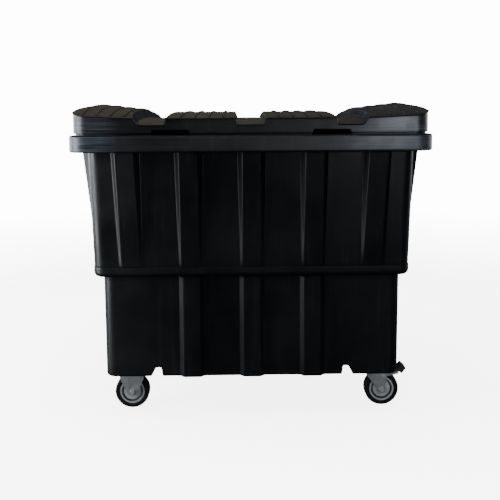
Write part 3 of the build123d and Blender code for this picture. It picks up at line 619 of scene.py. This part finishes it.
def between_walls(keys, points, columns, rows):
    """A function that gives the floor's points between those of a ring."""
    at = dict(zip(keys, points))

    def inner_point(i, j):
        front, rear, left = at[i, 0], at[i, rows - 1], at[0, j]
        share = (left[1] - at[0, 0][1]) / (at[0, rows - 1][1] - at[0, 0][1])
        return (front[0], front[1] + (rear[1] - front[1]) * share, front[2])

    return inner_point


def body_shell():
    shell = Shell("bin_shell")
    rings = []
    for station in outer_stations() + rim_hollow() + inner_stations():
        points, columns, rows = body_ring(*station)
        rings.append((shell.ring(points), points))
    for (low, _), (high, _) in zip(rings, rings[1:]):
        shell.join(low, high)
    keys = boundary(columns, rows)
    for (loop, points), flip in ((rings[0], True), (rings[-1], False)):
        shell.cap(loop, columns, rows, between_walls(keys, points, columns, rows), flip)
    for x, y, _ in CASTORS:
        add_boss(shell, x, y)
    for x in HINGE_X:
        for side in (-1, 1):
            near, far = (x + side * reach for reach in BODY_KNUCKLES)
            add_knuckle(shell, min(near, far), max(near, far), RIM_HALF[1] - ROOT_DEPTH, *BODY_ROOT)
    return shell.build()


# ---- Lid -----------------------------------------------------------------------------------------
LID_RADIUS = 0.072
SKIRT_FOOT, SEAT_FOOT, LID_EDGE = RIM_TOP + 0.007, RIM_TOP, 1.277       # the last is the front edge's top
SEAT_BACK, TOP_ROUNDING = 0.010, 0.005
CRESTS = ((0.0, 0.029), (0.405, 0.031), (0.535, 0.046), (0.655, 0.0595), (0.690, 0.0612), (0.733, 0.0545))
VALLEY_DEPTH, VALLEY_BULGE = 0.026, 0.027
CENTRE_WALL, INNER_WALL, OUTER_WALL = (0.0525, 0.25), (0.349, -0.192), (0.4485, 0.712)    # foot and lean
BROWS = (0.062, 0.344, 0.475)           # where the height of each of these walls is taken
RIDGES, RIDGES_END = ((0.112, 0.168, 0.224, 0.280), (0.506, 0.562, 0.618, 0.674)), 0.2872
RIDGE_SHAPE = ((-0.0070, 0.0), (-0.0056, 0.0006), (-0.0043, 0.0030), (-0.0025, 0.0043), (0.0, 0.0046))
RIDGE_ENDS = (0.5010, 0.5038)           # a ridge is whole up to the first distance and gone at the second
GRIP = ((0.2433, 0.0), (0.252, 1.0), (0.396, 1.0), (0.4047, 0.0))
GRIP_TOP = 1.233
ROW_PLACES = (0.512, 0.5085, 0.5038, 0.5026, 0.5010, 0.496, 0.486, 0.472, 0.452, 0.422, 0.382,
              0.330, 0.270, 0.200, 0.130, 0.065)        # distances of the lid's rows from its middle
ROW_SHARES = [y / ROW_PLACES[0] for y in ROW_PLACES]
ROW_SHARES = [-share for share in ROW_SHARES] + [0.0] + ROW_SHARES[::-1]


def dome(y):
    return math.sqrt(max(0.0, 1 - (y / LID_HALF[1]) ** 2))


def smooth(t):
    t = min(1.0, max(0.0, t))
    return t * t * (3 - 2 * t)


def crest(x):
    """Rise of the lid's middle line over its edges, rounded through the listed places."""
    x = abs(x)
    places = [(-c, r) for c, r in reversed(CRESTS[1:])] + list(CRESTS) + [(0.80, 0.036)]
    for k in range(1, len(places) - 2):
        (x0, r0), (x1, r1), (x2, r2), (x3, r3) = places[k - 1:k + 3]
        if x1 <= x <= x2:
            t, width = (x - x1) / (x2 - x1), x2 - x1
            m1, m2 = (r2 - r0) / (x2 - x0) * width, (r3 - r1) / (x3 - x1) * width
            t2, t3 = t * t, t * t * t
            rise = (2 * t3 - 3 * t2 + 1) * r1 + (3 * t2 - 2 * t3) * r2
            return rise + (t3 - 2 * t2 + t) * m1 + (t3 - t2) * m2
    return CRESTS[-1][1]


def block_height(x, y):
    """Height of the lid's blocks, whose front edge lifts a little towards the ends."""
    lift = 0.005 * smooth((abs(x) - 0.46) / 0.24)
    return LID_EDGE + lift + (crest(x) - lift) * dome(y)


def fillet(before, corner, after, radius, steps):
    """Points of an arc that rounds a corner between two straight runs."""
    a, c, b = Vector(before), Vector(corner), Vector(after)
    p, q = (a - c).normalized(), (b - c).normalized()
    half = p.angle(q) / 2
    reach = min(radius / math.tan(half), 0.45 * (a - c).length, 0.45 * (b - c).length)
    start, end = c + p * reach, c + q * reach
    return [tuple(start.lerp(c, t).lerp(c.lerp(end, t), t)) for t in (k / steps for k in range(steps + 1))]


def block_row(start, end, ridges, extra, y, skin):
    """(x, z) points along one block between two places, over its ridges."""
    share = 1 - smooth((abs(y) - RIDGE_ENDS[0]) / (RIDGE_ENDS[1] - RIDGE_ENDS[0]))
    row, previous = [], start
    for middle in ridges:
        shape = [(middle + u, d) for u, d in RIDGE_SHAPE]
        shape += [(middle - u, d) for u, d in RIDGE_SHAPE[-2::-1]]
        gap = [x for x in extra if previous < x < shape[0][0]]
        gap = gap or [previous + (shape[0][0] - previous) * k / 3 for k in (1, 2)]
        row += [(x, 0.0) for x in gap] + shape
        previous = shape[-1][0]
    row += [(x, 0.0) for x in end]
    lift = 0.0 if skin else share
    return [(x, block_height(x, y) - skin + d * lift) for x, d in row]


def lid_section(y, skin):
    """(x, z) points right across the lid at one y, as many for every y; skin lowers them to the inside."""
    floor = LID_EDGE - VALLEY_DEPTH + VALLEY_BULGE * dome(y) - skin

    def on_wall(wall, z, side):
        return wall[0] + side * skin + wall[1] * (z + skin - LID_EDGE + VALLEY_DEPTH)

    tops = [block_height(x, y) - skin for x in BROWS]
    sides = ((CENTRE_WALL, 1), (INNER_WALL, -1), (OUTER_WALL, 1))
    feet = [on_wall(wall, floor, side) for wall, side in sides]
    brows = [on_wall(wall, top, side) for wall, top, side in
             ((CENTRE_WALL, tops[0], 1), (INNER_WALL, tops[1], -1), (OUTER_WALL, tops[2], 1))]
    feet, brows = [(x, floor) for x in feet], list(zip(brows, tops))
    grips = [x for x, _ in GRIP]
    row = [(0.0, floor), (0.022, floor)]
    row += fillet((0.0, floor), feet[0], brows[0], 0.006, 4)
    row += fillet(feet[0], brows[0], (brows[0][0] + 0.03, brows[0][1]), 0.006, 4)
    inner = fillet((brows[1][0] - 0.03, brows[1][1]), brows[1], feet[1], 0.006, 4)
    span = inner[0][0] - RIDGES_END
    row += block_row(row[-1][0], [RIDGES_END + span * k / 3 for k in (1, 2)], RIDGES[0], grips, y, skin)
    row += inner
    row += fillet(brows[1], feet[1], (feet[1][0] + 0.03, floor), 0.008, 4)
    row += [(x, floor) for x in (grips[2] - 0.012, *grips[2:], grips[3] + 0.012)]
    row += fillet((feet[2][0] - 0.03, floor), feet[2], brows[2], 0.012, 5)
    beyond = brows[2][0] + 0.03
    row += fillet(feet[2], brows[2], (beyond, block_height(beyond, y) - skin), 0.007, 4)
    straight = LID_HALF[0] - LID_RADIUS
    ends = [straight + LID_RADIUS * math.sin(math.radians(a)) for a in (24, 34, 45, 56, 67, 78, 90)]
    row += block_row(row[-1][0], ends, RIDGES[1], (), y, skin)
    return [(-x, z) for x, z in reversed(row[1:])] + row


def lid_plan(x, inset):
    """Where a column stands and how far it reaches to front and rear, for a plan drawn in by inset."""
    straight, radius = LID_HALF[0] - LID_RADIUS, LID_RADIUS - inset
    if abs(x) <= straight:
        return x, LID_HALF[1] - inset
    a = math.asin(min(1.0, (abs(x) - straight) / LID_RADIUS))
    reach = LID_HALF[1] - LID_RADIUS + radius * math.cos(a)
    return math.copysign(straight + radius * math.sin(a), x), reach


def lid_grid(inset, skin):
    """All points of the top, or of the underside of the skin, over a plan drawn in by inset."""
    grid = {}
    for j, share in enumerate(ROW_SHARES):
        guess_y = share * (LID_HALF[1] - inset)
        row = lid_section(guess_y, skin)
        for i, (guess, z) in enumerate(row):
            x, reach = lid_plan(guess, inset)
            y = share * reach
            grid[i, j] = (x, CENTRE_Y + y, z + block_height(x, y) - block_height(guess, guess_y))
    return grid, len(row)


def edge_normals(loop):
    """Which way the top's outline faces in x and z at each boundary point; straight up round the ends."""
    normals = []
    for k, (x, _, z) in enumerate(loop):
        (ax, _, az), (bx, _, bz) = loop[k - 1], loop[(k + 1) % len(loop)]
        along = Vector((bx - ax, bz - az))
        if abs(x) > 0.64 or along.length < 1e-7:
            normals.append((0.0, 1.0))
            continue
        along.normalize()
        up = math.copysign(1.0, along[0]) if abs(along[0]) > 1e-6 else 1.0
        normals.append((-along[1] * up, along[0] * up))
    return normals


def grip_share(x, y):
    """0 beside the finger grips of the front, 1 over them."""
    if y > CENTRE_Y:
        return 0.0
    for (a, low), (b, high) in zip(GRIP, GRIP[1:]):
        if a <= abs(x) <= b:
            return low + (high - low) * (abs(x) - a) / (b - a)
    return 0.0


def moved_in(point, change):
    """A boundary point moved inwards, square to the lid's outline."""
    x, y = point[0], point[1] - CENTRE_Y
    corner_x = max(0.0, abs(x) - (LID_HALF[0] - LID_RADIUS))
    corner_y = max(0.0, abs(y) - (LID_HALF[1] - LID_RADIUS))
    length = math.hypot(corner_x, corner_y) or 1.0
    moved_x = x - math.copysign(corner_x / length * change, x)
    return (moved_x, point[1] - math.copysign(corner_y / length * change, y))


def lid_shell():
    shell = Shell("lid_shell")
    top, columns = lid_grid(TOP_ROUNDING, 0.0)
    inner, _ = lid_grid(LID_SKIN + 0.004, LID_SKIN)
    keys = boundary(columns, len(ROW_SHARES))
    loop = [top[key] for key in keys]
    hollow = [inner[key] for key in keys]
    normals = edge_normals(loop)
    rings = [loop]
    for a in arc_steps(3)[1:]:
        sink = TOP_ROUNDING * (1 - math.cos(a))
        ring = []
        for point, (nx, nz) in zip(loop, normals):
            x, y = moved_in(point, -TOP_ROUNDING * math.sin(a))
            ring.append((x - nx * sink, y, point[2] - nz * sink))
        rings.append(ring)
    wall = rings[-1]
    grips = [grip_share(p[0], p[1]) for p in wall]
    feet = [SKIRT_FOOT + (GRIP_TOP - SKIRT_FOOT) * share for share in grips]
    seats = [SEAT_FOOT + (GRIP_TOP - SEAT_FOOT) * share for share in grips]
    for t in (0.12, 0.38, 0.66, 0.90):
        rings.append([(p[0], p[1], p[2] + (foot + 0.0025 - p[2]) * t) for p, foot in zip(wall, feet)])
    for inset, lift in ((0.0, 0.0025), (0.0007, 0.0008), (0.0025, 0.0), (SEAT_BACK - 0.001, 0.0)):
        rings.append([(*moved_in(p, inset), foot + lift) for p, foot in zip(wall, feet)])
    for inset, lift in ((SEAT_BACK, 0.0), (SEAT_BACK + LID_SKIN, 0.0)):
        rings.append([(*moved_in(p, inset), seat - lift) for p, seat in zip(wall, seats)])
    for inset, low, over in ((SEAT_BACK + LID_SKIN, 1.2265, 0.0005), (LID_SKIN, 1.2275, 0.0012)):
        rings.append([(*moved_in(p, inset), max(low, foot + over)) for p, foot in zip(wall, feet)])
    low_in = rings[-1]
    for t in (0.5, 0.9):
        rings.append([(p[0], p[1], p[2] + (q[2] - 0.004 - p[2]) * t) for p, q in zip(low_in, hollow)])
    rings.append(hollow)
    loops = [shell.ring(points) for points in rings]
    for high, low in zip(loops, loops[1:]):
        shell.join(low, high)
    shell.cap(loops[0], columns, len(ROW_SHARES), lambda i, j: top[i, j], False)
    shell.cap(loops[-1], columns, len(ROW_SHARES), lambda i, j: inner[i, j], True)
    for x in HINGE_X:
        add_knuckle(shell, x - LID_KNUCKLE, x + LID_KNUCKLE, LID_HALF[1] - ROOT_DEPTH, *LID_ROOT)
    return shell.build()


# ---- Hinge knuckles ------------------------------------------------------------------------------
KNUCKLE, BORE = 0.017, 0.00806          # radii of a knuckle and of its bore


def add_knuckle(shell, start, end, root_y, low_z, high_z):
    """An arm with a round boss and a bore along X, added to a shell."""
    under_boss, over_boss = (HINGE[0] + 0.004, HINGE[1] - KNUCKLE + 0.001), (HINGE[0], HINGE[1] + KNUCKLE)
    corners = [(root_y, low_z), under_boss, over_boss, (root_y, high_z)]
    corners = [(y - HINGE[0], z - HINGE[1]) for y, z in corners]
    angles = [2 * math.pi * k / 48 for k in range(48)]
    angles += [math.atan2(z, y) % (2 * math.pi) for y, z in (corners[0], corners[3])]
    reaches = []
    for angle in sorted(angles):
        c, s = math.cos(angle), math.sin(angle)
        best = KNUCKLE
        for (ay, az), (by, bz) in zip(corners, corners[1:] + corners[:1]):
            dy, dz = by - ay, bz - az
            cross = c * dz - s * dy
            if abs(cross) < 1e-12:
                continue
            along = (ay * dz - az * dy) / cross
            share = (ay * s - az * c) / cross
            if along > 0 and -1e-9 <= share <= 1 + 1e-9:
                best = max(best, along)
        reaches.append((c, s, best))

    def loop(x, cut, bore=False):
        points = []
        for c, s, reach in reaches:
            r = BORE + cut if bore else reach - cut
            points.append((x, CENTRE_Y + HINGE[0] + c * r, HINGE[1] + s * r))
        return shell.ring(points)

    soft, bore_edge = 0.0015, 0.0005
    loops = [loop(start + bore_edge, 0.0, True), loop(start, bore_edge, True), loop(start, soft)]
    loops += [loop(start + 0.3 * soft, 0.3 * soft), loop(start + soft, 0.0)]
    loops += [loop(end - soft, 0.0), loop(end - 0.3 * soft, 0.3 * soft)]
    loops += [loop(end, soft), loop(end, bore_edge, True), loop(end - bore_edge, 0.0, True)]
    for low, high in zip(loops, loops[1:] + loops[:1]):
        shell.join(high, low)


for shell, node, body, finish in ((body_shell(), "bin_body", "container", "body_plastic"),
                                  (lid_shell(), "lid", "lid", "lid_plastic")):
    shell.data.materials.append(MATERIALS[finish])
    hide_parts(node)
    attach(shell, body)


# ---- Studio --------------------------------------------------------------------------------------
WHITE = (1.0, 1.0, 1.0, 1.0)
SEEN_STRENGTH, LIT_STRENGTH = 14.0, 0.85        # the surround as it is seen and as it lights the object
SKY = ((0.55, 0.10), (0.70, 0.42))              # share of the way from straight down to straight up, and grey
FLOOR_HALF, FLOOR_FADE, FLOOR_GLOW = 14.0, (2.6, 6.5), 5.0     # metres, metres, and emission strength


def floor():
    """Pale floor that fades into the pale surround far from the object."""
    half = FLOOR_HALF
    mesh = bpy.data.meshes.new("studio_floor")
    corners = [(-half, -half, 0), (half, -half, 0), (half, half, 0), (-half, half, 0)]
    mesh.from_pydata(corners, [], [(0, 1, 2, 3)])
    obj = bpy.data.objects.new("studio_floor", mesh)
    bpy.context.scene.collection.objects.link(obj)
    g = Graph("studio_floor")
    g.shader_input("Base Color", g.ramp(g.noise(1.3, 3, 0.5), (0.3, 0.88), (0.7, 0.91)))
    g.shader_input("Roughness", 0.9)
    g.shader_input("Emission Color", WHITE)
    g.shader_input("Emission Strength", FLOOR_GLOW)
    distance = g.nodes.new("ShaderNodeVectorMath")
    distance.operation = "LENGTH"
    g.links.new(g.place, distance.inputs[0])
    g.shader_input("Alpha", g.between(distance.outputs["Value"], *FLOOR_FADE, 1.0, 0.0))
    mesh.materials.append(g.mat)
    obj.visible_glossy = False
    obj.visible_diffuse = False


def area_light(name, place, target, size, power, colour):
    data = bpy.data.lights.new(name, "AREA")
    data.shape = "RECTANGLE"
    data.size, data.size_y = size
    data.energy = power
    data.color = colour
    obj = bpy.data.objects.new(name, data)
    bpy.context.scene.collection.objects.link(obj)
    obj.location = place
    obj.rotation_euler = (Vector(target) - Vector(place)).to_track_quat("-Z", "Y").to_euler()


def surround():
    """Pale surround, dark at the height of the walls and bright overhead for all but the camera."""
    world = bpy.data.worlds.new("studio")
    world.use_nodes = True
    nodes, links = world.node_tree.nodes, world.node_tree.links
    split = nodes.new("ShaderNodeSeparateXYZ")
    links.new(nodes.new("ShaderNodeTexCoord").outputs["Generated"], split.inputs["Vector"])
    shift = nodes.new("ShaderNodeMapRange")
    shift.inputs["From Min"].default_value = -1.0
    links.new(split.outputs["Z"], shift.inputs["Value"])
    ramp = nodes.new("ShaderNodeValToRGB")
    for position, grey in SKY:
        ramp.color_ramp.elements.new(position).color = (grey, grey, grey * 1.03, 1)
    ramp.color_ramp.elements[0].color = (0.05, 0.05, 0.05, 1)
    ramp.color_ramp.elements[-1].color = WHITE
    links.new(shift.outputs["Result"], ramp.inputs["Fac"])
    seen = nodes["Background"]
    seen.inputs["Color"].default_value = WHITE
    seen.inputs["Strength"].default_value = SEEN_STRENGTH
    lit = nodes.new("ShaderNodeBackground")
    lit.inputs["Strength"].default_value = LIT_STRENGTH
    links.new(ramp.outputs["Color"], lit.inputs["Color"])
    choose = nodes.new("ShaderNodeMixShader")
    links.new(nodes.new("ShaderNodeLightPath").outputs["Is Camera Ray"], choose.inputs["Fac"])
    links.new(lit.outputs["Background"], choose.inputs[1])
    links.new(seen.outputs["Background"], choose.inputs[2])
    links.new(choose.outputs["Shader"], nodes["World Output"].inputs["Surface"])
    bpy.context.scene.world = world


LIGHTS = (                              # name, place, aimed at, size, watts, colour
    ("left_card", (-3.5, -1.3, 1.25), (0, -0.4, 0.85), (1.5, 2.6), 230, (0.90, 0.95, 1.0)),
    ("left_rear", (-4.2, 2.0, 1.5), (0, -0.3, 0.9), (2.6, 2.6), 170, (0.94, 0.97, 1.0)),
    ("right_card", (4.4, 1.9, 1.4), (0, -0.3, 0.9), (2.4, 2.6), 62, (0.90, 0.95, 1.0)),
    ("front_right", (1.55, -3.75, 1.28), (0.6, -0.5, 1.24), (1.2, 0.42), 40, (0.86, 0.92, 1.0)),
    ("top", (0, -0.6, 4.6), (0, 0, 1.0), (3.6, 2.6), 330, (1, 1, 1)),
)
floor()
surround()
for light in LIGHTS:
    area_light(*light)


# ---- Camera --------------------------------------------------------------------------------------
EYE = (-0.045, -3.522, 1.317)
YAW, PITCH, ROLL = 0.888, 4.728, -0.33  # degrees to the right, down, and round the line of sight
camera = bpy.data.cameras.new("camera")
camera.sensor_width = 36.0
camera.lens = 53.6
camera.shift_x = -0.0039
camera.shift_y = -0.1592
view = bpy.data.objects.new("camera", camera)
bpy.context.scene.collection.objects.link(view)
view.location = EYE
turn = Euler((math.radians(90 - PITCH), 0, math.radians(-YAW)), "XYZ").to_matrix()
roll = Euler((0, 0, math.radians(ROLL)), "XYZ").to_matrix()
view.rotation_euler = (turn @ roll).to_euler()
bpy.context.scene.camera = view
